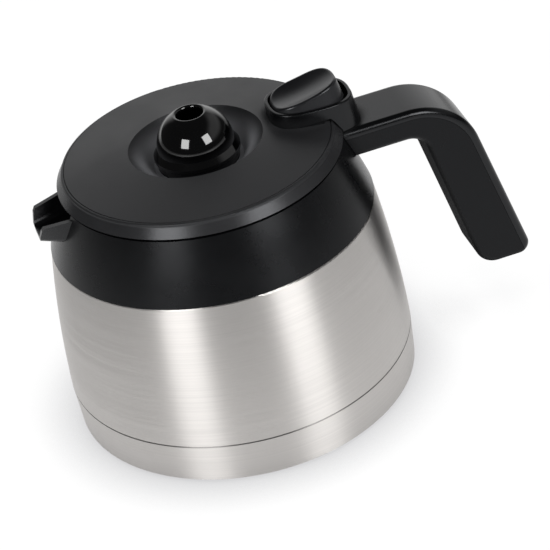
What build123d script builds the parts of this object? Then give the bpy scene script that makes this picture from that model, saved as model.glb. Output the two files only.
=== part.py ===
"""Thermal carafe: double-walled steel flask, moulded collar with spout, open-ended handle and flip lid.

Frame: millimetres, +Z up, origin at the centre of the underside, handle towards +X, spout towards -X.
"""
from build123d import *
import math
import os

# ---------------------------------------------------------------- driving dimensions
# flask
body_radius = 72.0          # widest radius, at the base seam
seam_height = 18.1          # seam between the base cap and the body
steel_top_height = 80.1     # where the steel goes under the collar
body_draft = 5.6            # how much narrower the top of the steel is than the seam
body_bulge = 1.1            # how far the body side bows out of a straight cone
steel_wall = 0.7
vacuum_gap = 3.8            # space between the two steel walls
neck_radius = 49.5          # outside of the steel neck
neck_height = 95.4          # top of the steel neck
neck_length = 3.0
ledge_depth = 2.8           # rolled step that the collar sits on
seam_bevel = 0.3            # bevel under the body's lower edge
base_draft = 0.8            # how much narrower the foot is than the seam
base_corner = 1.3
base_round = 0.7
inner_floor_height = 11.0   # inside floor of the flask, underside
flask_corner = 7.0
flask_shoulder_draft = 1.2
vacuum_plate_height = 4.2
plate_skirt_drop = 1.0      # top of the plate's skirt below the seam
plate_dish_depth = 1.6
plate_dish_radius = 6.0
seal_dimple_radius = 2.5
seal_bead_depth = 0.9
getter_radius = 12.0
getter_thickness = 1.2

# collar and spout
collar_top_height = 106.4
collar_top_radius = 57.4
collar_wall = 2.2
collar_bulge = 0.25
collar_step = 1.8           # shelf between the funnel and the outer wall
collar_inner_wall = 1.4     # wall round the steel neck
mouth_radius = 47.6
mouth_lip_height = 98.2
neck_seal_thickness = 1.4
lid_seal_thickness = 1.6    # between the mouth's lip and the plug's flange
spout_tip = 69.9            # reach of the pouring lip from the axis
spout_tip_lean = 1.2        # how much further out the lip is than the top edges
spout_root = 52.0           # where the trough starts, inside the collar
spout_tip_top = 103.0
spout_root_top = 105.4
spout_overrun = 1.7         # trough beyond the lip, trimmed off
spout_tip_half_width = 8.9
spout_root_half_width = 14.0
spout_tip_low_half_width = 5.0
spout_root_low_half_width = 12.9
spout_tip_floor = 96.0
spout_root_floor = 91.6
spout_channel_floor = 96.5  # start of the channel, at the mouth
spout_corner = 3.6
spout_wall = 1.4

# handle
handle_half_width = 13.3    # at the arm
handle_tip_half_width = 11.2
arm_start = 52.0
arm_top_height = 106.8
arm_under_height = 94.0
grip_top_reach = 106.6      # where the back line of the grip would meet the top of the arm
grip_tip_reach = 129.0      # the same line at the tip
grip_tip_height = 23.3
grip_top_thickness = 17.6
grip_tip_thickness = 22.9
handle_back_radius = 29.0
grip_tip_radius = 4.8
grip_tip_inner_radius = 9.0
handle_palm_radius = 8.5
handle_edge = 2.6
handle_cover_depth = 3.4    # thickness of the outer cover strip
handle_screw_radius = 1.3
handle_screw_head = 2.4
handle_screw_height = 95.8
handle_screw_spacing = 15.0
screw_boss_wall = 4.5       # from the screw heads to the outside of the collar
screw_boss_margin = 4.5
screw_boss_height = 6.2
handle_screw_length = 13.0
handle_screw_head_depth = 1.9

# hinge
hinge_setback = 6.6         # hinge line behind the collar's top edge
hinge_height = 110.4
hinge_pin_radius = 1.25
hinge_knuckle_radius = 3.0
hinge_post_half_width = 2.4
hinge_pin_half_length = 4.8
hinge_post_depth = 10.0     # how far the post reaches down from the hinge line

# lid
lid_edge_height = 112.7
lid_edge_inset = 2.0        # top edge of the lid inside the collar's top edge
lid_skirt_height = 107.8
lid_skirt_overhang = 0.6    # skirt outside the collar's top edge
lid_crown_height = 116.0
lid_wall = 2.0
dish_radius = 27.3
dish_depth = 8.4            # below the crown
dish_floor_radius = 18.2
dish_hollow = 0.4           # how far the dish's side bows below a straight cone
groove_inset = 1.2          # groove inside the lid's top edge
groove_width = 0.3
groove_depth = 0.35
plug_radius = 44.0
plug_wall = 1.8
plug_bottom = 85.5
plug_floor = 2.5
plug_flange_radius = 49.8
plug_flange_thickness = 1.8
outlet_width = 22.0
outlet_height = 5.6
outlet_corner = 1.5
post_circle = 33.0
post_radius = 3.2
screw_radius = 1.5
screw_grip = 10.0           # length of the screws inside the posts
screw_head_radius = 2.9
screw_head_depth = 1.8

# drip dome and inlet
dome_radius = 15.6
dome_sink = 1.1             # centre of the dome below the crown
dome_skirt_depth = 2.2      # cone between the dome and its lip
dome_lip_thickness = 1.4
dome_hole_radius = 5.4
dome_hole_round = 0.95
dome_neck_radius = 16.5
dome_lip_radius = 17.5
dome_wall = 2.0
inlet_tube_radius = 7.0
inlet_wall = 1.2
inlet_bottom = 83.6
inlet_throat = 3.6
cross_bar_width = 1.4
ball_radius = 4.4
ball_travel = 4.0
ball_rest_height = 85.2     # top of the cross bars under the ball

# lever and its housing
housing_setback = 15.9      # centre of the oval in front of the hinge line
housing_half_length = 17.2
housing_half_width = 13.2
oval_squareness = 2.9       # 2 is an ellipse, higher is nearer a rounded oblong
housing_top_height = 121.3   # front of the rim
housing_rim_drop = 1.8      # rear of the rim below its front
housing_rim_bottom = 115.0
housing_wall = 1.4
housing_rear_draft = 1.8
housing_floor = 0.8
plinth_inset = 1.0
plinth_wall = 1.0
plinth_floor = 1.4
lever_half_length = 14.0
lever_half_width = 11.0     # at the housing's rim
lever_rear_gap = 0.7        # extra room behind the lever for its swing
lever_bottom = 119.0
lever_depth = 13.0
lever_edge = 1.1
lever_taper = 13.0          # degrees
lever_pivot_setback = 18.0  # pivot in front of the hinge line
lever_pivot_height = 116.5
lever_barrel_radius = 2.7
lever_pin_radius = 1.25
lever_angle = 10.0
scoop_setback = 30.0        # lowest point of the thumb scoop in front of the hinge line
scoop_low_height = 121.5
scoop_length_radius = 61.0
scoop_width_radius = 25.0

# pour valve
valve_reach = 35.5
valve_stem_radius = 1.5
vent_pad_radius = 5.0
vent_port_radius = 3.0
pour_reach = 32.0           # pour port, on the spout side of the axis
pour_pad_radius = 8.4
pour_port_radius = 6.4
valve_pad_thickness = 2.4
valve_spigot_radius = 2.0
valve_spigot_depth = 1.6
yoke_width = 6.0
yoke_thickness = 1.6
yoke_ring = 3.2             # width of the ring round the inlet tube
link_pin_radius = 1.0
link_pin_drop = 0.6         # link pin below the lever's pivot
spring_radius = 3.2
spring_wire = 0.45
spring_turns = 5

# clearances
running_gap = 0.05          # radial, pins and stems in their holes
seat_gap = 0.3              # moving faces that close on each other
fit_gap = 0.15              # pieces of one body that drop into each other
shell_gap = 0.35            # housing round the lid's skirt

# lengths of cutting solids past what they cut
clear_rise = 12.0
clear_drop = 10.0

# ---------------------------------------------------------------- derived sizes
steel_top_radius = body_radius - body_draft
base_radius = body_radius - base_draft
shoulder_height = steel_top_height + 0.9
collar_seat_height = shoulder_height + 0.05
neck_inner_radius = neck_radius - steel_wall - fit_gap
flask_radius_drop = steel_wall + vacuum_gap
collar_lip_bottom = neck_height + neck_seal_thickness
plug_floor_top = plug_bottom + plug_floor
plug_inner_radius = plug_radius - plug_wall
plug_flange_height = mouth_lip_height + lid_seal_thickness
flange_top = plug_flange_height + plug_flange_thickness
lid_edge_radius = collar_top_radius - lid_edge_inset
lid_skirt_radius = collar_top_radius + lid_skirt_overhang
groove_radius = lid_edge_radius - groove_inset
grip_inner_top = grip_top_reach - grip_top_thickness
grip_inner_tip = grip_tip_reach - grip_tip_thickness
dish_floor_height = lid_crown_height - dish_depth
dome_centre_height = lid_crown_height - dome_sink
hinge_reach = collar_top_radius + hinge_setback
housing_reach = hinge_reach - housing_setback
lever_pivot_reach = hinge_reach - lever_pivot_setback
scoop_low_reach = hinge_reach - scoop_setback
housing_plinth_bottom = lid_edge_height - lid_wall + 0.4
valve_foot_height = plug_floor_top + valve_pad_thickness
link_reach = valve_reach
link_height = lever_pivot_height - link_pin_drop


def body_side_radius(height):
    """Outside radius of the steel body at a height, on the bowed side line."""
    share = (height - seam_height) / (steel_top_height - seam_height)
    straight = body_radius + (steel_top_radius - body_radius) * share
    return straight + body_bulge * 4 * share * (1 - share)


def collar_side_radius(height):
    """Outside radius of the collar at a height, on its bowed side line."""
    share = (height - collar_seat_height) / (collar_top_height - collar_seat_height)
    straight = steel_top_radius + (collar_top_radius - steel_top_radius) * share
    return straight + collar_bulge * 4 * share * (1 - share)


def cone_radius(r_low, z_low, r_high, z_high, height):
    """Radius of a cone between two heights."""
    return r_low + (r_high - r_low) * (height - z_low) / (z_high - z_low)


def cap_inner_radius(height):
    """Inside radius of the base cap's side wall."""
    low = base_radius - steel_wall
    return cone_radius(low, base_corner + 0.2, body_radius - steel_wall, seam_height, height)


def crown_height(radius):
    """Height of the lid's gently crowned top at a radius."""
    return cone_radius(lid_edge_height + 0.3, groove_radius, lid_crown_height, dish_radius, radius)


def export(piece, name):
    """Label a finished piece and write it as its own file."""
    piece.part.label = name
    export_step(piece.part, "parts/" + name + ".step")


handle_screw_start = collar_side_radius(handle_screw_height) - screw_boss_wall

os.makedirs("parts", exist_ok=True)

# ---------------------------------------------------------------- steel flask
middle_height = (seam_height + steel_top_height) / 2
shoulder_radius = steel_top_radius - ledge_depth
neck_foot_radius = neck_radius + 1.1
neck_foot_height = neck_height - neck_length

with BuildPart() as outer_shell:
    with BuildSketch(Plane.XZ):
        with BuildLine():
            side = ThreePointArc(
                (body_radius, seam_height + seam_bevel),
                (body_side_radius(middle_height), middle_height),
                (steel_top_radius, steel_top_height))
            roll = ThreePointArc(
                side @ 1,
                (steel_top_radius - 0.35, steel_top_height + 0.75),
                (steel_top_radius - 1.1, shoulder_height))
            ledge = Line(roll @ 1, (shoulder_radius, shoulder_height))
            shoulder = Line(ledge @ 1, (neck_foot_radius, neck_foot_height))
            neck_foot = Line(shoulder @ 1, (neck_radius, neck_foot_height + 0.9))
            neck = Line(neck_foot @ 1, (neck_radius, neck_height))
            rim = Line(neck @ 1, (neck_radius - steel_wall, neck_height))
            neck_in = Line(rim @ 1, (neck_radius - steel_wall, neck_foot_height + 0.6))
            foot_in = Line(neck_in @ 1, (neck_foot_radius - 0.5, neck_foot_height - steel_wall))
            shoulder_in = Line(foot_in @ 1, (shoulder_radius - 0.2, shoulder_height - steel_wall))
            ledge_in = Line(shoulder_in @ 1, (steel_top_radius - 1.3, shoulder_height - steel_wall))
            drop_in = Line(ledge_in @ 1, (steel_top_radius - steel_wall, steel_top_height - 0.3))
            ThreePointArc(
                drop_in @ 1,
                (body_side_radius(middle_height) - steel_wall, middle_height),
                (body_radius - steel_wall, seam_height))
            Polyline(
                (body_radius - steel_wall, seam_height), (body_radius - seam_bevel, seam_height),
                (body_radius, seam_height + seam_bevel))
        make_face()
    revolve(axis=Axis.Z)
export(outer_shell, "outer_shell")

with BuildPart() as base_cap:
    with BuildSketch(Plane.XZ):
        with BuildLine():
            Polyline(
                (0, 0), (base_radius - base_corner, 0), (base_radius, base_corner),
                (body_radius - 0.02, seam_height - 0.2), (body_radius - 0.2, seam_height),
                (body_radius - steel_wall, seam_height), (base_radius - steel_wall, base_corner + 0.2),
                (base_radius - base_corner - 0.3, steel_wall), (0, steel_wall), (0, 0))
        make_face()
    revolve(axis=Axis.Z)
    corner_edges = base_cap.edges().filter_by(GeomType.CIRCLE).group_by(Axis.Z)[0]
    fillet(corner_edges.sort_by(SortBy.RADIUS)[-1], base_round)
export(base_cap, "base_cap")

plate_top = seam_height - plate_skirt_drop
plate_radius = cap_inner_radius(vacuum_plate_height) - seat_gap
plate_top_radius = cap_inner_radius(plate_top) - seat_gap
dimple_height = vacuum_plate_height - plate_dish_depth

with BuildPart() as vacuum_plate:
    with BuildSketch(Plane.XZ):
        with BuildLine():
            Polyline(
                (seal_dimple_radius, dimple_height), (plate_dish_radius, vacuum_plate_height),
                (plate_radius, vacuum_plate_height), (plate_top_radius, plate_top),
                (plate_top_radius - steel_wall, plate_top),
                (plate_radius - steel_wall, vacuum_plate_height + steel_wall),
                (plate_dish_radius - 0.4, vacuum_plate_height + steel_wall),
                (seal_dimple_radius, dimple_height + steel_wall), (seal_dimple_radius, dimple_height))
        make_face()
    revolve(axis=Axis.Z)
export(vacuum_plate, "vacuum_plate")

with BuildPart() as seal_bead:
    with BuildSketch(Plane.XY.offset(dimple_height + 0.1)):
        Circle(seal_dimple_radius - running_gap)
    extrude(amount=seal_bead_depth)
    fillet(seal_bead.edges().group_by(Axis.Z)[-1], 0.3)
export(seal_bead, "seal_bead")

flask_side_low = body_radius - flask_radius_drop
flask_side_high = steel_top_radius - flask_radius_drop - flask_shoulder_draft
flask_side_mid = body_side_radius(middle_height) - flask_radius_drop
flask_shoulder_height = steel_top_height - 3.0

with BuildPart() as inner_flask:
    with BuildSketch(Plane.XZ):
        with BuildLine():
            Line((0, inner_floor_height), (flask_side_low - flask_corner, inner_floor_height))
            ThreePointArc(
                (flask_side_low - flask_corner, inner_floor_height),
                (flask_side_low - flask_corner * 0.29, inner_floor_height + flask_corner * 0.29),
                (flask_side_low, inner_floor_height + flask_corner))
            ThreePointArc(
                (flask_side_low, inner_floor_height + flask_corner),
                (flask_side_mid, middle_height),
                (flask_side_high, flask_shoulder_height))
            Line((flask_side_high, flask_shoulder_height), (neck_inner_radius, neck_foot_height - 3.6))
            Line((neck_inner_radius, neck_foot_height - 3.6), (neck_inner_radius, neck_height))
            Line((neck_inner_radius, neck_height), (neck_radius, neck_height))
            Line((neck_radius, neck_height), (neck_radius, neck_height + steel_wall))
            Line(
                (neck_radius, neck_height + steel_wall),
                (neck_inner_radius - steel_wall, neck_height + steel_wall))
            Line(
                (neck_inner_radius - steel_wall, neck_height + steel_wall),
                (neck_inner_radius - steel_wall, neck_foot_height - 4.0))
            Line(
                (neck_inner_radius - steel_wall, neck_foot_height - 4.0),
                (flask_side_high - steel_wall, flask_shoulder_height - 0.4))
            ThreePointArc(
                (flask_side_high - steel_wall, flask_shoulder_height - 0.4),
                (flask_side_mid - steel_wall, middle_height),
                (flask_side_low - steel_wall, inner_floor_height + flask_corner))
            ThreePointArc(
                (flask_side_low - steel_wall, inner_floor_height + flask_corner),
                (flask_side_low - flask_corner * 0.29 - steel_wall * 0.7,
                 inner_floor_height + flask_corner * 0.29 + steel_wall * 0.7),
                (flask_side_low - flask_corner, inner_floor_height + steel_wall))
            Line(
                (flask_side_low - flask_corner, inner_floor_height + steel_wall),
                (0, inner_floor_height + steel_wall))
            Line((0, inner_floor_height + steel_wall), (0, inner_floor_height))
        make_face()
    revolve(axis=Axis.Z)
export(inner_flask, "inner_flask")

with BuildPart() as getter_disc:
    with BuildSketch(Plane.XY.offset(inner_floor_height - getter_thickness)):
        Circle(getter_radius)
    extrude(amount=getter_thickness)
    chamfer(getter_disc.edges().group_by(Axis.Z)[0], 0.4)
export(getter_disc, "getter_disc")

# ---------------------------------------------------------------- collar
collar_height_mid = (collar_seat_height + collar_top_height) / 2
collar_radius_mid = (steel_top_radius + collar_top_radius) / 2 + collar_bulge
funnel_top_radius = collar_top_radius - collar_wall
neck_socket_radius = neck_radius + 0.5
neck_sleeve_radius = neck_socket_radius + collar_inner_wall
shelf_radius = funnel_top_radius + collar_step


def collar_outside(extra=0.0, rise=0.0):
    """Solid inside the collar's outer surface, grown by extra and carried up by rise."""
    with BuildPart() as solid:
        with BuildSketch(Plane.XZ):
            with BuildLine():
                lift = rise + 0.01
                Line((0, collar_seat_height), (steel_top_radius + extra, collar_seat_height))
                ThreePointArc(
                    (steel_top_radius + extra, collar_seat_height),
                    (collar_radius_mid + extra, collar_height_mid),
                    (collar_top_radius + extra, collar_top_height))
                Line(
                    (collar_top_radius + extra, collar_top_height),
                    (collar_top_radius + extra, collar_top_height + lift))
                Line((collar_top_radius + extra, collar_top_height + lift), (0, collar_top_height + lift))
                Line((0, collar_top_height + lift), (0, collar_seat_height))
            make_face()
        revolve(axis=Axis.Z)
    return solid.part


def shoulder_keep_out():
    """Space round the steel shoulder that the collar's inside stays clear of."""
    with BuildPart() as solid:
        with BuildSketch(Plane.XZ):
            with BuildLine():
                Polyline(
                    (0, steel_top_height - 5), (shoulder_radius + 0.8, steel_top_height - 5),
                    (shoulder_radius + 0.8, shoulder_height + 0.4),
                    (neck_foot_radius + 0.7, neck_foot_height + 0.6),
                    (neck_foot_radius + 0.7, neck_height), (0, neck_height),
                    (0, steel_top_height - 5))
            make_face()
        revolve(axis=Axis.Z)
    return solid.part


def trough(x_root, x_tip, inset, floor_root, floor_tip, rise):
    """Solid with the spout's section, wider at the root than at the tip."""
    with BuildPart() as solid:
        for x, high, low, floor, top in (
                (x_root, spout_root_half_width - inset, spout_root_low_half_width - inset,
                 floor_root, spout_root_top + rise),
                (x_tip, spout_tip_half_width - inset, spout_tip_low_half_width - inset,
                 floor_tip, spout_tip_top + rise)):
            with BuildSketch(Plane.YZ.offset(x)):
                with BuildLine():
                    Polyline(
                        (-high, top), (-low, floor + inset), (low, floor + inset), (high, top),
                        (-high, top))
                make_face()
                fillet(vertices().group_by(Axis.Y)[0], spout_corner - inset / 2)
        loft()
    return solid.part


spout_outside = trough(
    -spout_root, -spout_tip - spout_overrun, 0.0, spout_root_floor, spout_tip_floor, 0.0)
spout_inside = trough(
    -(plug_flange_radius + 0.7), -spout_tip - 2 * spout_overrun, spout_wall, spout_channel_floor, spout_tip_floor,
    collar_top_height + 2.0 - spout_root_top)

with BuildPart() as tip_trim:
    with BuildSketch(Plane.XZ):
        with BuildLine():
            Polyline(
                (-spout_tip, spout_tip_floor - 4.0), (-spout_tip, spout_tip_floor + 2.0),
                (-spout_tip + spout_tip_lean, spout_tip_top - 0.8),
                (-spout_tip + spout_tip_lean + 0.9, spout_tip_top + 0.3),
                (-spout_tip + spout_tip_lean + 0.9, spout_tip_top + 3.0),
                (-spout_tip - 9.0, spout_tip_top + 3.0), (-spout_tip - 9.0, spout_tip_floor - 4.0),
                (-spout_tip, spout_tip_floor - 4.0))
        make_face()
    extrude(amount=20.0, both=True)

# boss that the handle's screws pull against, inside the rear wall
with BuildPart() as screw_boss:
    with BuildSketch(Plane.YZ.offset(handle_screw_start)):
        with Locations((0, handle_screw_height)):
            Rectangle(handle_screw_spacing + 2 * screw_boss_margin, screw_boss_height)
    extrude(amount=2 * screw_boss_wall)
    add(collar_outside(), mode=Mode.INTERSECT)

with BuildPart() as collar:
    with BuildSketch(Plane.XZ):
        with BuildLine():
            outside = ThreePointArc(
                (steel_top_radius, collar_seat_height),
                (collar_radius_mid, collar_height_mid),
                (collar_top_radius, collar_top_height))
            Polyline(
                outside @ 1, (funnel_top_radius, collar_top_height),
                (funnel_top_radius - 0.8, mouth_lip_height + 2.4), (mouth_radius, mouth_lip_height),
                (mouth_radius, collar_lip_bottom), (neck_socket_radius, collar_lip_bottom),
                (neck_socket_radius, neck_foot_height + 1.0),
                (neck_sleeve_radius, neck_foot_height + 1.0),
                (neck_sleeve_radius, mouth_lip_height - 0.9), (shelf_radius, mouth_lip_height + 0.5))
            ThreePointArc(
                (shelf_radius, mouth_lip_height + 0.5),
                (collar_radius_mid - collar_wall, collar_height_mid - 0.6),
                (steel_top_radius - collar_wall, collar_seat_height))
            Line((steel_top_radius - collar_wall, collar_seat_height), (steel_top_radius, collar_seat_height))
        make_face()
    revolve(axis=Axis.Z)
    add(screw_boss.part)
    add(spout_outside)
    add(shoulder_keep_out(), mode=Mode.SUBTRACT)
    add(spout_inside, mode=Mode.SUBTRACT)
    add(tip_trim.part, mode=Mode.SUBTRACT)
    with BuildSketch(Plane.YZ.offset(handle_screw_start - handle_screw_head_depth)):
        with Locations((0, handle_screw_height)):
            with GridLocations(handle_screw_spacing, 0, 2, 1):
                Circle(handle_screw_radius + fit_gap)
    extrude(amount=handle_screw_length, mode=Mode.SUBTRACT)
    with BuildSketch(Plane.YZ.offset(handle_screw_start - handle_screw_head_depth - fit_gap)):
        with Locations((0, handle_screw_height)):
            with GridLocations(handle_screw_spacing, 0, 2, 1):
                Circle(handle_screw_head + fit_gap)
    extrude(amount=handle_screw_head_depth + fit_gap, mode=Mode.SUBTRACT)
export(collar, "collar")

with BuildPart() as neck_seal:
    with BuildSketch(Plane.XY.offset(neck_height + steel_wall)):
        Circle(neck_radius - 0.1)
        Circle(neck_inner_radius - steel_wall + 0.2, mode=Mode.SUBTRACT)
    extrude(amount=neck_seal_thickness - steel_wall)
export(neck_seal, "neck_seal")

# ---------------------------------------------------------------- handle
grip_slope = (grip_tip_reach - grip_top_reach) / (arm_top_height - grip_tip_height)


def round_corner(point, radius):
    """Round the corner of the sketch in hand that lies nearest to a point."""
    fillet(vertices().sort_by_distance((point[0], point[1], 0))[0], radius)


def outer_strip(depth):
    """Region outside the handle's top and back line moved inwards by depth."""
    shift = depth * math.sqrt(1 + grip_slope ** 2)
    top = arm_top_height - depth
    bend = (grip_top_reach - shift + depth * grip_slope, top)
    low = (grip_tip_reach - shift + clear_drop * grip_slope, grip_tip_height - clear_drop)
    with BuildPart() as solid:
        with BuildSketch(Plane.XZ):
            with BuildLine():
                Polyline(
                    (arm_start - 2, top), bend, low, (low[0] + body_radius, low[1]),
                    (low[0] + body_radius, 2 * arm_top_height), (arm_start - 2, 2 * arm_top_height),
                    (arm_start - 2, top))
            make_face()
            round_corner(bend, handle_back_radius - depth)
        extrude(amount=40.0, both=True)
    return solid.part


def hinge_post(radius, half_width):
    """Upright post with a rounded top round the hinge line."""
    with BuildPart() as solid:
        with BuildSketch(Plane.XZ):
            with Locations((hinge_reach, hinge_height)):
                Circle(radius)
            with Locations((hinge_reach, hinge_height - hinge_post_depth / 2)):
                Rectangle(2 * radius, hinge_post_depth)
        extrude(amount=half_width, both=True)
    return solid.part


with BuildPart() as handle_form:
    with BuildSketch(Plane.XZ):
        with BuildLine():
            Polyline(
                (arm_start, arm_top_height), (grip_top_reach, arm_top_height),
                (grip_tip_reach, grip_tip_height), (grip_inner_tip, grip_tip_height),
                (grip_inner_top, arm_under_height), (arm_start, arm_under_height),
                (arm_start, arm_top_height))
        make_face()
        round_corner((grip_top_reach, arm_top_height), handle_back_radius)
        round_corner((grip_tip_reach, grip_tip_height), grip_tip_radius)
        round_corner((grip_inner_tip, grip_tip_height), grip_tip_inner_radius)
        round_corner((grip_inner_top, arm_under_height), handle_palm_radius)
    extrude(amount=handle_half_width + 3.0, both=True)
    # the sides draw in towards the free end
    with BuildSketch(Plane.YZ.offset(arm_start - 1)):
        with BuildLine():
            Polyline(
                (-handle_half_width, arm_top_height + 1), (handle_half_width, arm_top_height + 1),
                (handle_tip_half_width, grip_tip_height - 1), (-handle_tip_half_width, grip_tip_height - 1),
                (-handle_half_width, arm_top_height + 1))
        make_face()
    extrude(amount=grip_tip_reach, mode=Mode.INTERSECT)
    side_edges = edges().filter_by(lambda e: abs(e.center().Y) > handle_tip_half_width - 1.0)
    side_edges = side_edges.filter_by(lambda e: e.bounding_box().max.X > arm_start + 1)
    fillet(side_edges, handle_edge)
    add(collar_outside(fit_gap, clear_rise), mode=Mode.SUBTRACT)

with BuildPart() as handle_body:
    add(handle_form.part)
    add(outer_strip(handle_cover_depth + fit_gap), mode=Mode.SUBTRACT)
    # post that carries the lid's hinge pin
    add(hinge_post(hinge_knuckle_radius - 0.2, hinge_post_half_width))
    with BuildSketch(Plane.XZ):
        with Locations((hinge_reach, hinge_height)):
            Circle(hinge_pin_radius + 0.01)
    extrude(amount=20.0, both=True, mode=Mode.SUBTRACT)
    with BuildSketch(Plane.YZ.offset(arm_start)):
        with Locations((0, handle_screw_height)):
            with GridLocations(handle_screw_spacing, 0, 2, 1):
                Circle(handle_screw_radius + 0.02)
    extrude(amount=20.0, mode=Mode.SUBTRACT)
export(handle_body, "handle_body")

with BuildPart() as handle_cover:
    add(handle_form.part)
    add(outer_strip(handle_cover_depth), mode=Mode.INTERSECT)
    add(hinge_post(hinge_knuckle_radius + 0.1, hinge_post_half_width + fit_gap), mode=Mode.SUBTRACT)
export(handle_cover, "handle_cover")

with BuildPart() as handle_screws:
    with BuildSketch(Plane.YZ.offset(handle_screw_start)):
        with Locations((0, handle_screw_height)):
            with GridLocations(handle_screw_spacing, 0, 2, 1):
                Circle(handle_screw_radius)
    extrude(amount=handle_screw_length)
    with BuildSketch(Plane.YZ.offset(handle_screw_start - handle_screw_head_depth)):
        with Locations((0, handle_screw_height)):
            with GridLocations(handle_screw_spacing, 0, 2, 1):
                Circle(handle_screw_head)
    extrude(amount=handle_screw_head_depth)
export(handle_screws, "handle_screws")

with BuildPart() as hinge_pin:
    with BuildSketch(Plane.XZ):
        with Locations((hinge_reach, hinge_height)):
            Circle(hinge_pin_radius)
    extrude(amount=hinge_pin_half_length, both=True)
    chamfer(edges().filter_by(GeomType.CIRCLE), 0.2)
export(hinge_pin, "hinge_pin")

# ---------------------------------------------------------------- lid cover
cover_hole_radius = dome_neck_radius + fit_gap
plinth_reach = lid_edge_radius - 3.9
dish_mid_radius = (dish_radius + dish_floor_radius) / 2
dish_mid_height = (lid_crown_height + dish_floor_height) / 2
housing_seat_height = housing_rim_bottom - fit_gap


def oval(centre, half_length, half_width):
    """Squarish oval face on the base plane, its centre on the X axis."""
    points = []
    for step in range(24):
        turn = math.radians(15 * step)
        along = half_length * abs(math.cos(turn)) ** (2 / oval_squareness)
        across = half_width * abs(math.sin(turn)) ** (2 / oval_squareness)
        points.append((centre + math.copysign(along, math.cos(turn)), math.copysign(across, math.sin(turn))))
    with BuildSketch() as face:
        with BuildLine():
            Spline(*points, periodic=True)
        make_face()
    return face.sketch_local


def housing_oval(inset):
    """Oval of the lever housing, moved inwards by inset."""
    return oval(housing_reach, housing_half_length - inset, housing_half_width - inset)


def plinth(inset, low, high):
    """Foot of the housing: the oval, cut off where the lid's edge begins."""
    with BuildPart() as solid:
        with BuildSketch(Plane.XY.offset(low)):
            add(housing_oval(plinth_inset + inset))
        extrude(amount=high - low)
        with BuildSketch(Plane.XY.offset(low)):
            Circle(plinth_reach - inset)
        extrude(amount=high - low, mode=Mode.INTERSECT)
    return solid.part


with BuildPart() as lid_cover:
    with BuildSketch(Plane.XZ):
        with BuildLine():
            Line((lid_skirt_radius, lid_skirt_height), (lid_edge_radius, lid_edge_height - 0.9))
            ThreePointArc(
                (lid_edge_radius, lid_edge_height - 0.9),
                (lid_edge_radius - 0.25, lid_edge_height - 0.2),
                (lid_edge_radius - 0.9, lid_edge_height + 0.1))
            Polyline(
                (lid_edge_radius - 0.9, lid_edge_height + 0.1),
                (groove_radius, lid_edge_height + 0.1),
                (groove_radius, lid_edge_height - groove_depth),
                (groove_radius - groove_width, lid_edge_height - groove_depth),
                (groove_radius - groove_width, crown_height(groove_radius - groove_width)),
                (dish_radius, lid_crown_height))
            ThreePointArc(
                (dish_radius, lid_crown_height),
                (dish_mid_radius + dish_hollow, dish_mid_height - dish_hollow),
                (dish_floor_radius, dish_floor_height))
            Polyline(
                (dish_floor_radius, dish_floor_height), (cover_hole_radius, dish_floor_height),
                (cover_hole_radius, dish_floor_height - lid_wall),
                (dish_floor_radius + 0.7 * lid_wall, dish_floor_height - lid_wall),
                (dish_radius + 0.7 * lid_wall, lid_crown_height - 1.2 * lid_wall),
                (groove_radius - 1.2, lid_edge_height - lid_wall),
                (lid_skirt_radius - lid_wall, lid_skirt_height),
                (lid_skirt_radius, lid_skirt_height))
        make_face()
    revolve(axis=Axis.Z)
    with BuildSketch(Plane.XY.offset(plug_floor_top)):
        with PolarLocations(post_circle, 4, start_angle=45):
            Circle(post_radius)
    extrude(amount=crown_height(post_circle) - plug_floor_top - 0.8)
    add(plinth(-fit_gap, lid_edge_height - clear_drop, lid_crown_height), mode=Mode.SUBTRACT)
    with BuildSketch(Plane.XY.offset(housing_seat_height)):
        add(housing_oval(-fit_gap))
    extrude(amount=clear_rise, mode=Mode.SUBTRACT)
    with BuildSketch(Plane.XY.offset(plug_floor_top)):
        with PolarLocations(post_circle, 4, start_angle=45):
            Circle(screw_radius + 0.02)
    extrude(amount=screw_grip + 1.0, mode=Mode.SUBTRACT)
export(lid_cover, "lid_cover")

# ---------------------------------------------------------------- plug under the lid
with BuildPart() as lid_plug:
    plug_top = lid_edge_height - lid_wall + 0.2
    with BuildSketch(Plane.XZ):
        with BuildLine():
            Polyline(
                (inlet_tube_radius + fit_gap, plug_bottom), (plug_radius - 1.5, plug_bottom),
                (plug_radius, plug_bottom + 1.5), (plug_radius, plug_flange_height),
                (plug_flange_radius, plug_flange_height), (plug_flange_radius, flange_top),
                (plug_radius, flange_top), (plug_radius, plug_top), (plug_inner_radius, plug_top),
                (plug_inner_radius, plug_floor_top), (inlet_tube_radius + fit_gap, plug_floor_top),
                (inlet_tube_radius + fit_gap, plug_bottom))
        make_face()
    revolve(axis=Axis.Z)
    # outlet towards the spout
    with BuildSketch(Plane.YZ.offset(-plug_radius - 2)):
        with Locations((0, flange_top + outlet_height / 2)):
            RectangleRounded(outlet_width, outlet_height, outlet_corner)
    extrude(amount=6.0, mode=Mode.SUBTRACT)
    # ports under the two valve pads
    with BuildSketch(Plane.XY.offset(plug_bottom)):
        with Locations((valve_reach, 0)):
            Circle(vent_port_radius)
        with Locations((-pour_reach, 0)):
            Circle(pour_port_radius)
    extrude(amount=plug_floor, mode=Mode.SUBTRACT)
    with BuildSketch(Plane.XY.offset(plug_bottom)):
        with PolarLocations(post_circle, 4, start_angle=45):
            Circle(screw_radius + fit_gap)
    extrude(amount=plug_floor, mode=Mode.SUBTRACT)
export(lid_plug, "lid_plug")

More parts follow.
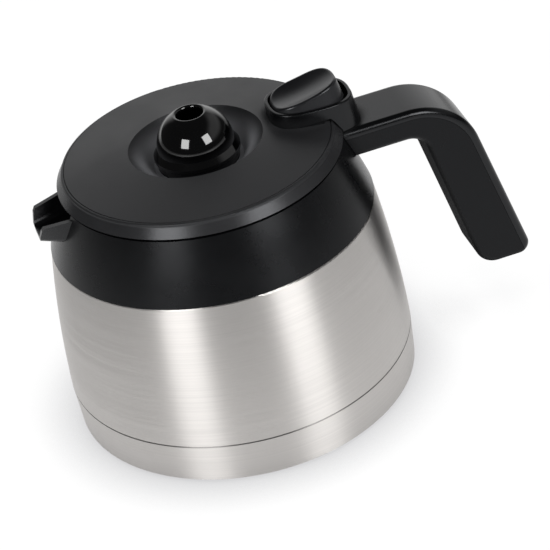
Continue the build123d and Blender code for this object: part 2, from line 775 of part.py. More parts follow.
with BuildPart() as lid_seal:
    with BuildSketch(Plane.XZ):
        with BuildLine():
            seal_in = plug_radius + 0.1
            floor_in = mouth_lip_height + seat_gap
            floor_out = cone_radius(
                mouth_lip_height, mouth_radius, mouth_lip_height + 2.4, funnel_top_radius - 0.8,
                plug_flange_radius) + seat_gap
            Polyline(
                (seal_in, plug_flange_height), (plug_flange_radius, plug_flange_height),
                (plug_flange_radius, floor_out), (mouth_radius + 0.4, floor_in + 0.15),
                (mouth_radius - 1.0, floor_in - 0.2), (seal_in, floor_in - 0.2),
                (seal_in, plug_flange_height))
        make_face()
    revolve(axis=Axis.Z)
export(lid_seal, "lid_seal")

with BuildPart() as lid_screws:
    with BuildSketch(Plane.XY.offset(plug_bottom)):
        with PolarLocations(post_circle, 4, start_angle=45):
            Circle(screw_radius)
    extrude(amount=plug_floor + screw_grip)
    with BuildSketch(Plane.XY.offset(plug_bottom - screw_head_depth)):
        with PolarLocations(post_circle, 4, start_angle=45):
            Circle(screw_head_radius)
    extrude(amount=screw_head_depth)
export(lid_screws, "lid_screws")

# ---------------------------------------------------------------- drip dome, inlet tube and ball
with BuildPart() as drip_dome:
    neck_in = dome_neck_radius - dome_wall
    hole_height = dome_centre_height + math.sqrt(dome_radius ** 2 - dome_hole_radius ** 2)
    inner_dome = dome_radius - dome_wall
    hole_height_in = dome_centre_height + math.sqrt(inner_dome ** 2 - dome_hole_radius ** 2)
    flange_low = dish_floor_height - lid_wall - 1.6
    lip_top = dome_centre_height - dome_skirt_depth
    lip_low = lip_top - dome_lip_thickness
    lip_step = dome_lip_radius - dome_neck_radius
    half_arc = math.sqrt(0.5)
    with BuildSketch(Plane.XZ):
        with BuildLine():
            Polyline(
                (neck_in, flange_low), (dome_neck_radius + 2.2, flange_low),
                (dome_neck_radius + 2.2, dish_floor_height - lid_wall),
                (dome_neck_radius, dish_floor_height - lid_wall),
                (dome_neck_radius, lip_low - lip_step), (dome_lip_radius, lip_low),
                (dome_lip_radius, lip_top), (dome_radius, dome_centre_height))
            ThreePointArc(
                (dome_radius, dome_centre_height),
                (dome_radius * half_arc, dome_centre_height + dome_radius * half_arc),
                (dome_hole_radius, hole_height))
            Line((dome_hole_radius, hole_height), (dome_hole_radius, hole_height_in))
            ThreePointArc(
                (dome_hole_radius, hole_height_in),
                (inner_dome * half_arc, dome_centre_height + inner_dome * half_arc),
                (inner_dome, dome_centre_height))
            Polyline((inner_dome, dome_centre_height), (neck_in, lip_top), (neck_in, flange_low))
        make_face()
    revolve(axis=Axis.Z)
    rim = edges().filter_by(GeomType.CIRCLE).group_by(Axis.Z)[-1]
    fillet(rim, dome_hole_round)
export(drip_dome, "drip_dome")

with BuildPart() as inlet_funnel:
    cup = dome_neck_radius - dome_wall - fit_gap
    tube_in = inlet_tube_radius - inlet_wall
    seat_height = ball_rest_height + ball_radius + ball_travel + 3.2
    with BuildSketch(Plane.XZ):
        with BuildLine():
            Polyline(
                (cup, dish_floor_height), (cup - inlet_wall, dish_floor_height),
                (inlet_throat, seat_height + 1.2), (inlet_throat, seat_height),
                (tube_in, seat_height - 2.4), (tube_in, inlet_bottom), (inlet_tube_radius, inlet_bottom),
                (inlet_tube_radius, seat_height + 1.8), (cup, dish_floor_height - 1.8),
                (cup, dish_floor_height))
        make_face()
    revolve(axis=Axis.Z)
    # cross bars that hold the ball up and let the coffee past
    with BuildSketch(Plane.XY.offset(inlet_bottom)):
        Rectangle(2 * tube_in + 0.8, cross_bar_width)
        Rectangle(cross_bar_width, 2 * tube_in + 0.8)
    extrude(amount=ball_rest_height - inlet_bottom)
export(inlet_funnel, "inlet_funnel")

with BuildPart() as check_ball:
    with Locations((0, 0, ball_rest_height + ball_radius + 0.02)):
        Sphere(ball_radius)
export(check_ball, "check_ball")

# ---------------------------------------------------------------- lever housing on the lid
housing_low = hinge_height - hinge_knuckle_radius
rim_plane = Plane(
    origin=(housing_reach, 0, housing_top_height - housing_rim_drop / 2),
    x_dir=(2 * housing_half_length, 0, -housing_rim_drop),
    z_dir=(housing_rim_drop, 0, 2 * housing_half_length))


def skirt_space():
    """The lid cover with a little room round it, which the housing keeps clear of."""
    with BuildPart() as solid:
        with BuildSketch(Plane.XZ):
            with BuildLine():
                Polyline(
                    (0, housing_low - 1), (lid_skirt_radius + shell_gap, housing_low - 1),
                    (lid_skirt_radius + shell_gap, lid_skirt_height + shell_gap),
                    (lid_edge_radius + shell_gap, lid_edge_height + shell_gap),
                    (lid_edge_radius - 1.0, housing_rim_bottom), (0, housing_rim_bottom),
                    (0, housing_low - 1))
            make_face()
        revolve(axis=Axis.Z)
    return solid.part


with BuildPart() as lever_housing:
    with BuildSketch(Plane.XY.offset(housing_low)):
        add(oval(
            housing_reach + housing_rear_draft / 2, housing_half_length + housing_rear_draft / 2,
            housing_half_width))
    with BuildSketch(rim_plane):
        add(oval(0, housing_half_length, housing_half_width))
    loft()
    fillet(faces().sort_by(Axis.Z)[-1].edges(), 0.7)
    add(skirt_space(), mode=Mode.SUBTRACT)
    add(plinth(0.0, housing_plinth_bottom, housing_rim_bottom + 0.2))
    # well for the lever
    with BuildSketch(Plane.XY.offset(housing_rim_bottom + housing_floor)):
        add(housing_oval(housing_wall))
    extrude(amount=20.0, mode=Mode.SUBTRACT)
    add(
        plinth(plinth_wall, housing_plinth_bottom + plinth_floor, housing_top_height),
        mode=Mode.SUBTRACT)
    # knuckles: everything behind and below the pin turns inside one radius
    with BuildSketch(Plane.XZ):
        with Locations((hinge_reach + 5.0, hinge_height - 5.0)):
            Rectangle(10.0, 10.0)
        with Locations((hinge_reach, hinge_height)):
            Circle(hinge_knuckle_radius + 0.1, mode=Mode.SUBTRACT)
    extrude(amount=30.0, both=True, mode=Mode.SUBTRACT)
    # slot for the handle's hinge post, open downwards and to the rear
    with BuildSketch(Plane.XZ):
        with Locations((hinge_reach, hinge_height)):
            Circle(hinge_knuckle_radius + 0.2)
        with Locations((hinge_reach, hinge_height - hinge_post_depth / 2)):
            Rectangle(2 * hinge_knuckle_radius + 0.4, hinge_post_depth)
        with Locations((hinge_reach + 5.0, hinge_height + 0.1)):
            Rectangle(10.0, 2 * hinge_knuckle_radius + 0.8)
    extrude(amount=hinge_post_half_width + 0.25, both=True, mode=Mode.SUBTRACT)
    with BuildSketch(Plane.XZ):
        with Locations((hinge_reach, hinge_height)):
            Circle(hinge_pin_radius + running_gap)
    extrude(amount=hinge_pin_half_length + 0.2, both=True, mode=Mode.SUBTRACT)
    # seats for the lever's pin, blind in the side walls
    with BuildSketch(Plane.XZ):
        with Locations((lever_pivot_reach, lever_pivot_height)):
            Circle(lever_pin_radius + 0.01)
    extrude(amount=housing_half_width - 0.8, both=True, mode=Mode.SUBTRACT)
    # guide for the valve stem
    with BuildSketch(Plane.XY.offset(housing_plinth_bottom)):
        with Locations((valve_reach, 0)):
            Circle(valve_stem_radius + running_gap)
    extrude(amount=2.0, mode=Mode.SUBTRACT)
export(lever_housing, "lever_housing")

with BuildPart() as lever_pin:
    with BuildSketch(Plane.XZ):
        with Locations((lever_pivot_reach, lever_pivot_height)):
            Circle(lever_pin_radius)
    extrude(amount=housing_half_width - 0.9, both=True)
    chamfer(edges().filter_by(GeomType.CIRCLE), 0.2)
export(lever_pin, "lever_pin")

# ---------------------------------------------------------------- thumb lever
lever_reach = housing_reach - lever_rear_gap
lever_slope = math.tan(math.radians(lever_taper))
lever_foot_growth = (housing_top_height - lever_bottom) * lever_slope
lever_top_growth = lever_foot_growth - lever_depth * lever_slope
blade_half_thickness = 1.2
blade_half_length = 2.4
lug_root = 0.6              # how far the lugs and the rib reach into the lever
lug_drop = 1.4              # lugs below the link pin
lug_width = 3.8

with BuildPart() as thumb_lever:
    with BuildSketch(Plane.XY.offset(lever_bottom)):
        add(oval(lever_reach, lever_half_length + lever_foot_growth, lever_half_width + lever_foot_growth))
    with BuildSketch(Plane.XY.offset(lever_bottom + lever_depth)):
        add(oval(lever_reach, lever_half_length + lever_top_growth, lever_half_width + lever_top_growth))
    loft()
    # thumb scoop: a ring-shaped cut, low at the front and high at the rear
    with BuildSketch(Plane.YZ.offset(scoop_low_reach)):
        with Locations((0, scoop_low_height + scoop_width_radius)):
            Circle(scoop_width_radius)
    scoop_axis = Axis((scoop_low_reach, 0, scoop_low_height + scoop_length_radius), (0, 1, 0))
    revolve(axis=scoop_axis, mode=Mode.SUBTRACT)
    scooped_rim = edges().sort_by(SortBy.LENGTH)[-2]
    fillet(scooped_rim, lever_edge)
    # rib and barrel for the pivot
    with BuildSketch(Plane.XZ):
        with Locations((lever_pivot_reach, lever_pivot_height)):
            Circle(lever_barrel_radius)
        with Locations((lever_pivot_reach, (lever_pivot_height + lever_bottom + lug_root) / 2)):
            Rectangle(1.6 * lever_barrel_radius, lever_bottom + lug_root - lever_pivot_height)
    extrude(amount=lever_half_width - 1.4, both=True)
    # lugs for the link pin
    with BuildSketch(Plane.XZ):
        with Locations((link_reach, (link_height - lug_drop + lever_bottom + lug_root) / 2)):
            Rectangle(lug_width, lever_bottom + lug_root - link_height + lug_drop)
    extrude(amount=blade_half_thickness + 2.0, both=True)
    with BuildSketch(Plane.XZ):
        with Locations((link_reach, link_height)):
            Rectangle(2 * blade_half_length + 2.0, 6.4)
    extrude(amount=blade_half_thickness + 0.2, both=True, mode=Mode.SUBTRACT)
    with BuildSketch(Plane.XZ):
        with Locations((lever_pivot_reach, lever_pivot_height)):
            Circle(lever_pin_radius + running_gap)
    extrude(amount=20.0, both=True, mode=Mode.SUBTRACT)
    with BuildSketch(Plane.XZ):
        with Locations((link_reach, link_height)):
            Circle(link_pin_radius + 0.01)
    extrude(amount=20.0, both=True, mode=Mode.SUBTRACT)
export(thumb_lever, "thumb_lever")

with BuildPart() as link_pin:
    with BuildSketch(Plane.XZ):
        with Locations((link_reach, link_height)):
            Circle(link_pin_radius)
    extrude(amount=blade_half_thickness + 1.9, both=True)
export(link_pin, "link_pin")

# ---------------------------------------------------------------- valve: vent under the lever, pour port near the spout
with BuildPart() as valve_stem:
    # yoke that passes round the inlet tube and carries both pads
    with BuildSketch(Plane.XY.offset(valve_foot_height)):
        with Locations(((valve_reach - pour_reach) / 2, 0)):
            Rectangle(valve_reach + pour_reach, yoke_width)
        with Locations((valve_reach, 0), (-pour_reach, 0)):
            Circle(yoke_width / 2 + 1.0)
        Circle(inlet_tube_radius + seat_gap + yoke_ring)
        Circle(inlet_tube_radius + seat_gap, mode=Mode.SUBTRACT)
    extrude(amount=yoke_thickness)
    # spigots for the pads
    with BuildSketch(Plane.XY.offset(valve_foot_height - valve_spigot_depth)):
        with Locations((valve_reach, 0), (-pour_reach, 0)):
            Circle(valve_spigot_radius)
    extrude(amount=valve_spigot_depth)
    with BuildSketch(Plane.XY.offset(valve_foot_height)):
        with Locations((valve_reach, 0)):
            Circle(valve_stem_radius)
    extrude(amount=link_height - 2.0 - valve_foot_height)
    # flat eye that the link pin lifts
    with BuildSketch(Plane.XZ):
        with Locations((link_reach, link_height)):
            RectangleRounded(2 * blade_half_length, 4.6, 1.2)
    extrude(amount=blade_half_thickness, both=True)
    with BuildSketch(Plane.XZ):
        with Locations((link_reach, link_height)):
            SlotOverall(2 * link_pin_radius + 0.8, 2 * link_pin_radius + 0.16)
    extrude(amount=blade_half_thickness + 1.0, both=True, mode=Mode.SUBTRACT)
export(valve_stem, "valve_stem")

with BuildPart() as valve_pads:
    with BuildSketch(Plane.XY.offset(plug_floor_top)):
        with Locations((valve_reach, 0)):
            Circle(vent_pad_radius)
        with Locations((-pour_reach, 0)):
            Circle(pour_pad_radius)
    extrude(amount=valve_pad_thickness)
    chamfer(edges().group_by(Axis.Z)[-1], 0.5)
    with BuildSketch(Plane.XY.offset(valve_foot_height - valve_spigot_depth)):
        with Locations((valve_reach, 0), (-pour_reach, 0)):
            Circle(valve_spigot_radius)
    extrude(amount=valve_pad_thickness, mode=Mode.SUBTRACT)
export(valve_pads, "valve_pads")

with BuildPart() as valve_spring:
    spring_low = valve_foot_height + yoke_thickness + spring_wire
    spring_height = housing_plinth_bottom - spring_wire - spring_low
    with BuildLine():
        coil = Helix(
            pitch=spring_height / spring_turns, height=spring_height, radius=spring_radius,
            center=(valve_reach, 0, spring_low))
    with BuildSketch(Plane(origin=coil @ 0, z_dir=coil % 0)):
        Circle(spring_wire)
    sweep(is_frenet=True)
export(valve_spring, "valve_spring")
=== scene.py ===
import math

import bpy
from mathutils import Matrix, Vector


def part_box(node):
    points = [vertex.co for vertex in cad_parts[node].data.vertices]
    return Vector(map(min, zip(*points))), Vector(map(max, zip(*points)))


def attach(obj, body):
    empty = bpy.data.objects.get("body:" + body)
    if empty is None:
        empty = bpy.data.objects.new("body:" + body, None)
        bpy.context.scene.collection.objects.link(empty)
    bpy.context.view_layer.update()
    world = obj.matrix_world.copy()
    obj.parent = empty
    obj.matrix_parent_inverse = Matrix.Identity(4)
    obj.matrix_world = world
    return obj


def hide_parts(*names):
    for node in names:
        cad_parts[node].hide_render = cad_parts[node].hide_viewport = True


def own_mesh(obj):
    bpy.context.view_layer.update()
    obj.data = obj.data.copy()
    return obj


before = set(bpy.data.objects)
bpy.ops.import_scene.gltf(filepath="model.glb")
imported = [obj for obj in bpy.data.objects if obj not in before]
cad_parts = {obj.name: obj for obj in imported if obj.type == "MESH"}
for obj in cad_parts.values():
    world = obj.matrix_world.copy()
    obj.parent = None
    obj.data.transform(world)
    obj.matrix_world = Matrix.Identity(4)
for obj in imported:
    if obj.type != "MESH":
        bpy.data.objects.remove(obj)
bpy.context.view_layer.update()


# ---------------------------------------------------------------- node arithmetic
class Wire:
    """A socket that can be used in sums: each operator adds one Math node."""

    def __init__(self, finish, socket):
        self.finish = finish
        self.socket = socket

    def _math(self, operation, *values):
        return self.finish.node(
            "ShaderNodeMath", {"operation": operation}, dict(enumerate(values)))

    def __add__(self, other):
        return self._math("ADD", self, other)

    def __radd__(self, other):
        return self._math("ADD", other, self)

    def __sub__(self, other):
        return self._math("SUBTRACT", self, other)

    def __rsub__(self, other):
        return self._math("SUBTRACT", other, self)

    def __mul__(self, other):
        return self._math("MULTIPLY", self, other)

    def __rmul__(self, other):
        return self._math("MULTIPLY", other, self)

    def __truediv__(self, other):
        return self._math("DIVIDE", self, other)

    def __rtruediv__(self, other):
        return self._math("DIVIDE", other, self)

    def __abs__(self):
        return self._math("ABSOLUTE", self)

    def clamp(self):
        """Keeps the value between 0 and 1."""
        return self._math("MINIMUM", self._math("MAXIMUM", self, 0.0), 1.0)

    def ramp(self, low, high, start=0.0, end=1.0):
        """Smooth step from start at low to end at high."""
        return self.finish.node(
            "ShaderNodeMapRange", {"interpolation_type": "SMOOTHSTEP"},
            {"Value": self, "From Min": low, "From Max": high, "To Min": start, "To Max": end})


class Finish:
    """A material or world under construction."""

    def __init__(self, name, owner=None):
        if owner is None:
            owner = bpy.data.materials.new(name)
            owner.use_nodes = True
        self.owner = owner
        self.tree = owner.node_tree
        self.tree.nodes.clear()

    def node(self, kind, settings=None, inputs=None, output=0):
        """Adds one node: its settings first, then the values or links of its sockets."""
        made = self.tree.nodes.new(kind)
        for key, value in (settings or {}).items():
            setattr(made, key, value)
        for key, value in (inputs or {}).items():
            socket = made.inputs[key]
            if isinstance(value, Wire):
                self.tree.links.new(value.socket, socket)
            elif socket.type == "RGBA":
                socket.default_value = (*value, 1.0)
            else:
                socket.default_value = value
        return Wire(self, made.outputs[output]) if made.outputs else made

    def place(self):
        """Position on the object, in metres."""
        return self.node("ShaderNodeTexCoord", output="Object")

    def part(self, vector, axis):
        """One number of a vector: 0 is X, 1 is Y, 2 is Z."""
        return self.node("ShaderNodeSeparateXYZ", None, {0: vector}, output=axis)

    def scaled(self, vector, scale):
        """A vector with each of its numbers scaled by itself."""
        return self.node(
            "ShaderNodeVectorMath", {"operation": "MULTIPLY"}, {0: vector, 1: scale})

    def length(self, vector):
        """How long a vector is."""
        return self.node("ShaderNodeVectorMath", {"operation": "LENGTH"}, {0: vector}, output=1)

    def radius(self, vector):
        """Distance from the upright axis of the carafe."""
        return self.length(self.scaled(vector, (1.0, 1.0, 0.0)))

    def noise(self, vector, scale, detail=2.0, rough=0.5):
        """Cloudy noise around 0.5."""
        return self.node(
            "ShaderNodeTexNoise", None,
            {"Vector": vector, "Scale": scale, "Detail": detail, "Roughness": rough})

    def openness(self, distance, samples):
        """1 in the open, and less where another surface is nearer than distance."""
        return self.node(
            "ShaderNodeAmbientOcclusion", {"samples": samples}, {"Distance": distance}, output=1)

    def blend(self, factor, first, second):
        """Mix of two colours."""
        return self.node(
            "ShaderNodeMix", {"data_type": "RGBA"}, {0: factor, 6: first, 7: second}, output=2)

    def bump(self, height, strength, distance):
        """Normal of a surface whose height varies."""
        return self.node(
            "ShaderNodeBump", None, {"Height": height, "Strength": strength, "Distance": distance})

    def surface(self, **inputs):
        """Ends the material with one Principled shader; keys use _ for a space."""
        named = {key.replace("_", " "): value for key, value in inputs.items()}
        shader = self.node("ShaderNodeBsdfPrincipled", None, named)
        self.node("ShaderNodeOutputMaterial", None, {"Surface": shader})
        return self.owner


def tinted(shade, factor):
    """A colour made lighter or darker."""
    return tuple(channel * factor for channel in shade)


# ---------------------------------------------------------------- places on the carafe, in metres
skirt_width = 0.0026        # from the edge of the lid's top to its widest radius
lid_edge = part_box("lid_cover")[1][1] - skirt_width
edge_band = 0.0003          # the step from dull top to smooth skirt
dish_edge = 0.0273          # radius at which the top turns down into the dish
dish_foot = 0.0215          # radius from which the dish is painted palest all over, as painted light
seam_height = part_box("outer_shell")[0][2]
seam_core = 0.0002          # half the width of the painted shadow line at the seam
seam_reach = 0.0005         # half the width at which the line has faded out

# ---------------------------------------------------------------- finishes
upright_sheen = 0.25        # a quarter turn: a stretched sheen follows the height
plastic_tint = (0.95, 0.965, 1.0)
grain_size = 0.00022        # one grain of the moulded surface, in metres


def moulded_black(name, shade, rough, grain, specular, corner=0.0, turned=0.0,
                  sheen=None, painted_light=None):
    """Black moulded plastic with a fine grain and slightly cloudy colour.

    corner is how near another wall dulls the plastic, as hands and cloths polish only
    what they reach. turned stretches the sheen along the height. sheen gives a factor on
    the roughness for each place, and the last argument says where the black is painted
    paler: painted light standing in for light that falls there.
    """
    cloud_scale = 38.0
    darker, paler = 0.9, 1.12
    painted_pale = 8.5
    smoothest, tone_swing = 0.9, 0.2
    corner_samples = 16
    corner_starts, corner_full = 0.85, 0.45
    finish = Finish(name)
    place = finish.place()
    cloud = finish.noise(place, cloud_scale, 5.0, 0.6).ramp(0.3, 0.7)
    fine = finish.noise(place, 1.0 / grain_size)
    colour = finish.blend(cloud, tinted(shade, darker), tinted(shade, paler))
    # painted light: where the last argument says, the black is painted paler for light falling
    # there
    if painted_light is not None:
        colour = finish.blend(painted_light(finish, place), colour, tinted(shade, painted_pale))
    tone = smoothest + tone_swing * cloud
    if sheen is not None:
        tone = tone * sheen(finish, place)
    dullness = tone * rough
    if corner > 0.0:
        open_air = finish.openness(corner, corner_samples)
        in_corner = open_air.ramp(corner_starts, corner_full)
        dullness = dullness + (1.0 - dullness) * in_corner
    return finish.surface(
        Base_Color=colour, Roughness=dullness, Specular_IOR_Level=specular,
        Specular_Tint=plastic_tint, Anisotropic=turned, Anisotropic_Rotation=upright_sheen,
        Normal=finish.bump(fine, grain, grain_size))


def lid_sheen(finish, place):
    """The skirt and the dish of the lid are smoother than its top."""
    skirt_polish, dish_polish = 0.4, 0.2
    dish_starts, dish_full = dish_edge + 0.0002, dish_edge - 0.0008
    radius = finish.radius(place)
    skirt = radius.ramp(lid_edge, lid_edge + edge_band)
    dish = radius.ramp(dish_starts, dish_full)
    return 1.0 - skirt_polish * skirt - dish_polish * dish


def lid_painted_light(finish, place):
    """Painted light: the dish is painted paler towards its foot, standing in for the light that
    falls into it.
    """
    return finish.radius(place).ramp(dish_edge, dish_foot)


def brushed_steel(name, shade, rough, hair):
    """Sheet steel brushed round its axis, with hair lines one above another."""
    fine_hair = (16.0, 16.0, 7000.0)
    coarse_hair = (7.0, 7.0, 1300.0)
    cloud_scale = 24.0
    hair_depth = 0.00002
    darker, paler, seam_painted_shadow = 0.94, 1.05, 0.42
    hair_swing, cloud_swing = 0.03, 0.04
    finish = Finish(name)
    place = finish.place()
    fine = finish.noise(finish.scaled(place, fine_hair), 1.0, 3.0, 0.6)
    coarse = finish.noise(finish.scaled(place, coarse_hair), 1.0, 3.0, 0.6)
    cloud = finish.noise(place, cloud_scale)
    streak = (fine * 0.5 + coarse * 0.5).ramp(0.3, 0.7)
    # painted shadow: a thin darker line on the steel where the base cap meets the shell
    seam = abs(finish.part(place, 2) - seam_height).ramp(seam_reach, seam_core)
    colour = finish.blend(streak, tinted(shade, darker), tinted(shade, paler))
    dullness = streak.ramp(0.0, 1.0, rough - hair_swing, rough + hair_swing)
    return finish.surface(
        Base_Color=finish.blend(seam, colour, tinted(shade, seam_painted_shadow)), Metallic=1.0,
        Roughness=dullness + cloud * cloud_swing - cloud_swing / 2,
        Anisotropic=0.97, Anisotropic_Rotation=upright_sheen,
        Normal=finish.bump(fine, hair, hair_depth))


def plain(name, shade, rough, metallic=0.0):
    """Finish of an inner piece, with a little cloud in its colour and gloss."""
    cloud_scale = 300.0
    darker, paler = 0.94, 1.06
    smoother, duller = rough * 0.9, rough * 1.1
    finish = Finish(name)
    cloud = finish.noise(finish.place(), cloud_scale)
    return finish.surface(
        Base_Color=finish.blend(cloud, tinted(shade, darker), tinted(shade, paler)),
        Metallic=metallic, Roughness=cloud.ramp(0.3, 0.7, smoother, duller))


def gloss_black(name, shade, rough):
    """Polished black moulding with a very soft ripple."""
    ripple_scale = 90.0
    ripple_strength, ripple_depth = 0.04, 0.0004
    smoother, duller = rough * 0.8, rough * 1.2
    finish = Finish(name)
    ripple = finish.noise(finish.place(), ripple_scale, 1.0)
    return finish.surface(
        Base_Color=shade, Roughness=ripple.ramp(0.3, 0.7, smoother, duller),
        Specular_IOR_Level=0.9, Normal=finish.bump(ripple, ripple_strength, ripple_depth))


deep_black = (0.0028, 0.003, 0.0035)
steel = brushed_steel("steel", (0.75, 0.725, 0.702), rough=0.39, hair=0.15)
lid_black = moulded_black(
    "lid_black", (0.0285, 0.0288, 0.0305), rough=0.42, grain=0.07, specular=0.32,
    corner=0.008, sheen=lid_sheen, painted_light=lid_painted_light)
collar_black = moulded_black(
    "collar_black", deep_black, rough=0.28, grain=0.04, specular=0.38, turned=0.5)
grip_black = moulded_black(
    "grip_black", deep_black, rough=0.25, grain=0.03, specular=0.2, corner=0.05)
cover_black = moulded_black(
    "cover_black", deep_black, rough=0.2, grain=0.02, specular=0.36, corner=0.01)
housing_black = moulded_black(
    "housing_black", deep_black, rough=0.28, grain=0.03, specular=0.34, corner=0.01)
lever_black = moulded_black(
    "lever_black", (0.009, 0.0092, 0.0105), rough=0.3, grain=0.03, specular=0.55,
    corner=0.01)
dome_gloss = gloss_black("dome_gloss", (0.001, 0.001, 0.0012), rough=0.06)
inner_black = plain("inner_black", (0.02, 0.02, 0.02), rough=0.5)
inner_steel = plain("inner_steel", (0.6, 0.6, 0.58), rough=0.35, metallic=1.0)
bright_steel = plain("bright_steel", (0.6, 0.6, 0.6), rough=0.25, metallic=1.0)
silicone = plain("silicone", (0.5, 0.5, 0.49), rough=0.6)
ball_white = plain("ball_white", (0.7, 0.7, 0.68), rough=0.4)

finishes = {
    steel: ("outer_shell", "base_cap"),
    inner_steel: ("inner_flask", "vacuum_plate", "seal_bead", "getter_disc"),
    collar_black: ("collar",),
    grip_black: ("handle_body",),
    cover_black: ("handle_cover",),
    housing_black: ("lever_housing",),
    lever_black: ("thumb_lever",),
    lid_black: ("lid_cover",),
    inner_black: ("lid_plug", "valve_stem"),
    dome_gloss: ("drip_dome", "inlet_funnel"),
    bright_steel: (
        "handle_screws", "hinge_pin", "lid_screws", "lever_pin", "link_pin", "valve_spring"),
    silicone: ("neck_seal", "lid_seal", "valve_pads"),
    ball_white: ("check_ball",),
}
for finish, pieces in finishes.items():
    for piece in pieces:
        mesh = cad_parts[piece].data
        mesh.materials.clear()
        mesh.materials.append(finish)

# ---------------------------------------------------------------- closing spring
wire = 0.00045              # radius of the wire, in metres
turns = 5
steps_per_turn = 24
facets = 10                 # sides of the wire
coil_low, coil_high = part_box("valve_spring")
coil_x = (coil_low[0] + coil_high[0]) / 2
coil_radius = (coil_high[0] - coil_low[0]) / 2 - wire
coil_height = coil_high[2] - coil_low[2]


def coil_tube():
    """Points and faces of a round wire wound as a coil, with flat ends."""
    steps = turns * steps_per_turn
    rise = coil_height - 2 * wire
    up = Vector((0.0, 0.0, 1.0))
    points = []
    for step in range(steps + 1):
        angle = 2 * math.pi * step / steps_per_turn
        outward = Vector((math.cos(angle), math.sin(angle), 0.0))
        axis_point = Vector((coil_x, 0.0, coil_low[2] + wire + rise * step / steps))
        centre = axis_point + outward * coil_radius
        for facet in range(facets):
            turn = 2 * math.pi * facet / facets
            points.append(centre + (outward * math.cos(turn) + up * math.sin(turn)) * wire)
    faces = []
    for step in range(steps):
        for facet in range(facets):
            here = step * facets + facet
            beside = step * facets + (facet + 1) % facets
            faces.append((here, here + facets, beside + facets, beside))
    faces.append(tuple(range(facets)))
    faces.append(tuple(steps * facets + facet for facet in reversed(range(facets))))
    return points, faces


# the coil is its own piece, carried by the lid's body
coil_points, coil_faces = coil_tube()
coil_mesh = bpy.data.meshes.new("closing_coil")
coil_mesh.from_pydata([tuple(point) for point in coil_points], [], coil_faces)
for face in coil_mesh.polygons:
    face.use_smooth = len(face.vertices) == 4
coil_mesh.materials.append(bright_steel)
coil = bpy.data.objects.new("closing_coil", coil_mesh)
bpy.context.scene.collection.objects.link(coil)
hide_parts("valve_spring")
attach(coil, "lid")
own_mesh(coil)

# ---------------------------------------------------------------- floor, in metres
floor_reach = 6
floor_drop = -0.0001        # just below the foot, so that the two don't share a plane
corners = [(-1, -1), (1, -1), (1, 1), (-1, 1)]
floor_mesh = bpy.data.meshes.new("floor")
floor_mesh.from_pydata(
    [(x * floor_reach, y * floor_reach, floor_drop) for x, y in corners], [], [(0, 1, 2, 3)])
floor = bpy.data.objects.new("floor", floor_mesh)
bpy.context.scene.collection.objects.link(floor)


def white_paper():
    """White floor: plain white to the eye but for the shadow at the foot, pale to light.

    Far behind it glows like the foot of a cove. Steel mirrors the bright white close by,
    and less of it further out.
    """
    white = (1.0, 1.0, 1.0)
    contact_shade = (0.62, 0.62, 0.63)
    contact_reach, contact_samples = 0.036, 8
    shade_full, shade_gone = 0.4, 0.95
    cove_starts, cove_full = 0.5, 1.2
    cove_side, cove_middle = 0.6, 0.88
    mirror_near, mirror_far = 0.15, 0.6
    near_share, far_share = 0.88, 0.05
    paper = Finish("floor_white")
    place = paper.place()
    away = paper.length(place)
    behind = paper.part(place, 1)
    lit = paper.node("ShaderNodeBsdfDiffuse", None, {"Color": (0.85, 0.85, 0.85)})
    faint = paper.node("ShaderNodeBsdfDiffuse", None, {"Color": (0.08, 0.08, 0.08)})
    # painted shadow: the floor's glow is painted darker where the carafe's foot is near
    open_floor = paper.openness(contact_reach, contact_samples).ramp(shade_full, shade_gone)
    glow = paper.node("ShaderNodeEmission", None, {
        "Color": paper.blend(open_floor, contact_shade, white), "Strength": 0.99})
    clean = paper.node("ShaderNodeAddShader", None, {0: faint, 1: glow})
    far_behind = away.ramp(cove_starts, cove_full) * (behind / away).ramp(
        cove_side, cove_middle)
    cove = paper.node("ShaderNodeMixShader", None, {
        0: far_behind, 1: lit, 2: paper.node("ShaderNodeEmission", None, {"Strength": 1.0})})
    straight = paper.node("ShaderNodeLightPath", output="Is Camera Ray")
    mirrored = paper.node("ShaderNodeLightPath", output="Is Glossy Ray")
    mirror_share = away.ramp(mirror_near, mirror_far, near_share, far_share)
    shown = (straight + mirrored * mirror_share).clamp()
    paper.node("ShaderNodeOutputMaterial", None, {
        "Surface": paper.node("ShaderNodeMixShader", None, {0: shown, 1: cove, 2: clean})})
    return paper.owner


floor_mesh.materials.append(white_paper())


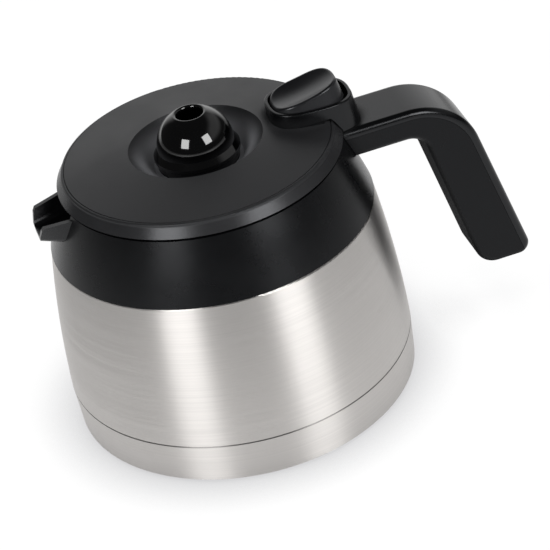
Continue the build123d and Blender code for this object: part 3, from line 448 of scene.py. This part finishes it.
# ---------------------------------------------------------------- room and lamps
def build_room():
    """A white backdrop behind and a dim wall at the right; the rest of the room is dark.

    across, depth and rise are the three numbers of a direction: to the right, to the
    back and up.
    """
    wall_strength = 0.3
    dark_strength = 0.04
    world = bpy.data.worlds.new("studio")
    bpy.context.scene.world = world
    world.use_nodes = True
    studio = Finish("studio", world)
    way = studio.node("ShaderNodeTexCoord", output="Generated")
    across = studio.part(way, 0)
    depth = studio.part(way, 1)
    rise = studio.part(way, 2)
    backdrop = depth.ramp(0.55, 0.88) * rise.ramp(0.85, 0.5) * across.ramp(-0.55, -0.1)
    right_wall = across.ramp(0.45, 0.75) * rise.ramp(0.15, 0.4) * rise.ramp(0.85, 0.6)
    room = backdrop + right_wall * wall_strength + dark_strength
    seen = studio.node("ShaderNodeLightPath", output="Is Camera Ray")
    light = studio.node("ShaderNodeBackground", None, {
        "Color": (1.0, 1.0, 1.0), "Strength": seen + (1.0 - seen) * room})
    studio.node("ShaderNodeOutputWorld", None, {"Surface": light})


def soft_lamp(name, azimuth):
    """Lamp box that faces the carafe; azimuth 0 is the front, positive towards the handle."""
    target = Vector((0.0, 0.0, 0.08))
    distance = 1.6
    width, height, power = 0.62, 0.72, 10.2
    across = math.radians(azimuth)
    up = math.radians(29.0)
    way = Vector((
        math.sin(across) * math.cos(up), -math.cos(across) * math.cos(up), math.sin(up)))
    lamp = bpy.data.lights.new(name, "AREA")
    lamp.shape = "RECTANGLE"
    lamp.size = width
    lamp.size_y = height
    lamp.energy = power
    holder = bpy.data.objects.new(name, lamp)
    holder.location = target + way * distance
    holder.rotation_euler = (-way).to_track_quat("-Z", "Y").to_euler()
    bpy.context.scene.collection.objects.link(holder)


build_room()
soft_lamp("left_box", -45.0)
soft_lamp("right_box", 31.0)

# ---------------------------------------------------------------- camera
camera_place = Vector((-0.134812, -0.851171, 0.608818))
camera_right = Vector((0.94230853, -0.28656761, -0.17301342))
camera_up = Vector((0.29922981, 0.48941501, 0.8191059))
camera_forward = Vector((0.15005385, 0.82362124, -0.54692951))
camera_data = bpy.data.cameras.new("camera")
camera_data.sensor_width = 36.0
camera_data.lens = 163.636
camera_data.clip_start = 0.05
camera = bpy.data.objects.new("camera", camera_data)
camera_turn = Matrix((camera_right, camera_up, -camera_forward)).transposed().to_4x4()
camera.matrix_world = Matrix.Translation(camera_place) @ camera_turn
bpy.context.scene.collection.objects.link(camera)
bpy.context.scene.camera = camera
bpy.context.scene.view_settings.view_transform = "Standard"
